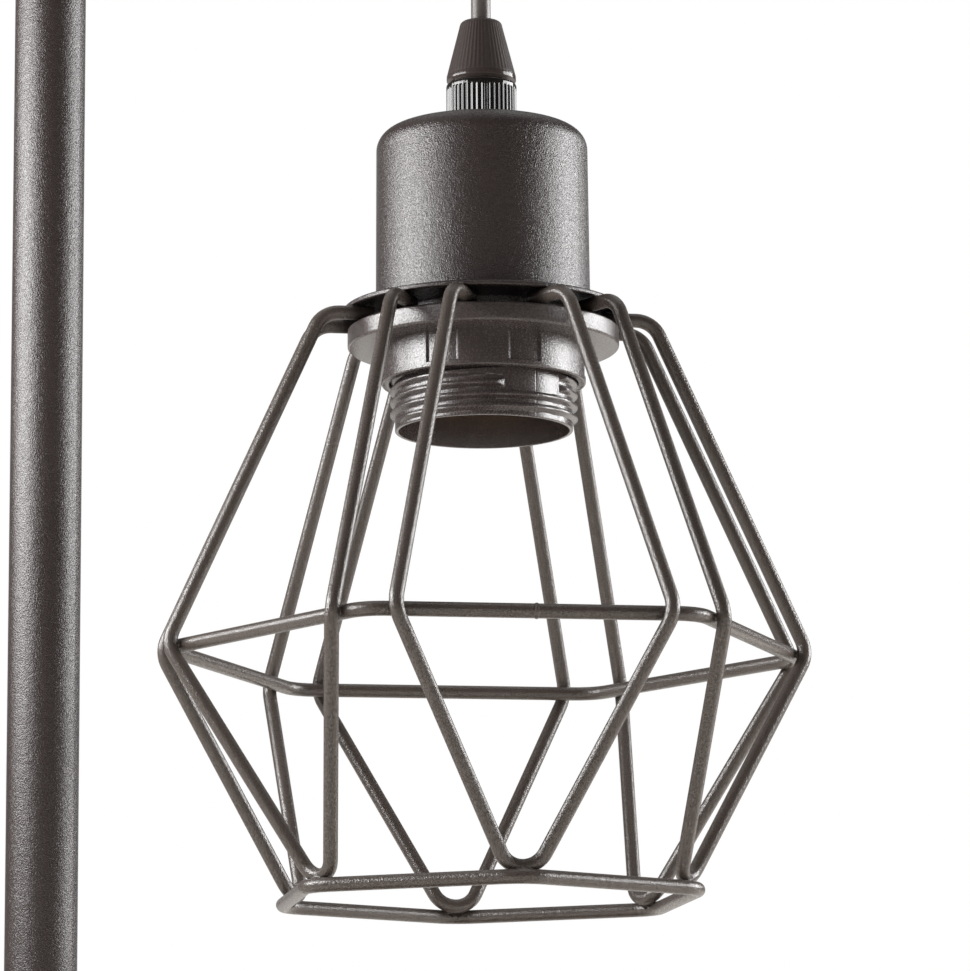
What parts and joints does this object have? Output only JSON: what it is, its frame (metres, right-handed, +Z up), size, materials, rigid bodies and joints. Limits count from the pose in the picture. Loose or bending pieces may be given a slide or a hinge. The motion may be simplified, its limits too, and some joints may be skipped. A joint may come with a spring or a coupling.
{
  "type": "table lamp",
  "caption": "Table lamp with a bent tube stand on a round weighted base and a hanging lampholder in an open wire cage shade.",
  "frame": {"origin": "centre of the base's underside, on the table", "axes": "+Z up along the pole, +X along the arm from the pole towards the pendant"},
  "size_m": [0.2274, 0.2, 0.48],
  "materials": {
    "powder_coat": "satin powder coat with a fine sand texture",
    "cast_weight": "as cast",
    "foam_pad": "closed-cell foam",
    "zinc_steel": "zinc plated",
    "black_plastic": "moulded, fine spark texture",
    "trim_plastic": "moulded",
    "pvc_flex": "extruded PVC",
    "brass": "stamped and rolled"
  },
  "bodies": {
    "stand": {"base_cover": "powder_coat", "base_weight": "cast_weight", "base_plate": "zinc_steel", "plate_screws": "zinc_steel", "base_pad": "foam_pad", "lead_gland": "trim_plastic", "pole_foot_plug": "zinc_steel", "threaded_nipple": "zinc_steel", "pole_washer": "zinc_steel", "pole_nut": "zinc_steel", "pole": "powder_coat", "arm_end_cap": "trim_plastic", "cord_bush": "trim_plastic", "inner_lead": "pvc_flex"},
    "flex_bend": {"flex_bend": "pvc_flex"},
    "flex": {"pendant_flex": "pvc_flex"},
    "pendant": {"cord_grip_nut": "black_plastic", "cord_grip_body": "black_plastic", "cup": "powder_coat", "lampholder_cap": "black_plastic", "lampholder_skirt": "black_plastic", "contact_carrier": "black_plastic", "screw_shell": "brass", "centre_contact": "brass", "terminals": "brass", "terminal_screws": "zinc_steel", "holder_wires": "pvc_flex", "shade_ring": "black_plastic", "cage_plate": "powder_coat", "cage_belt_ring": "powder_coat", "cage_bottom_ring": "powder_coat", "cage_loop_1": "powder_coat", "cage_loop_2": "powder_coat", "cage_loop_3": "powder_coat", "cage_loop_4": "powder_coat", "cage_loop_5": "powder_coat", "cage_loop_6": "powder_coat"}
  },
  "joints": [
    {"name": "swing_along", "type": "hinge", "parent": "stand", "child": "flex_bend", "pos_m": [0.06, 0, 0.4605], "axis": [0, -1, 0], "range_deg": [-8, 35]},
    {"name": "swing_across", "type": "hinge", "parent": "flex_bend", "child": "flex", "pos_m": [0.06, 0, 0.4605], "axis": [1, 0, 0], "range_deg": [-35, 35]},
    {"name": "twist", "type": "hinge", "parent": "flex", "child": "pendant", "pos_m": [0.06, 0, 0.39], "axis": [0, 0, 1], "range_deg": [-90, 90]}
  ]
}
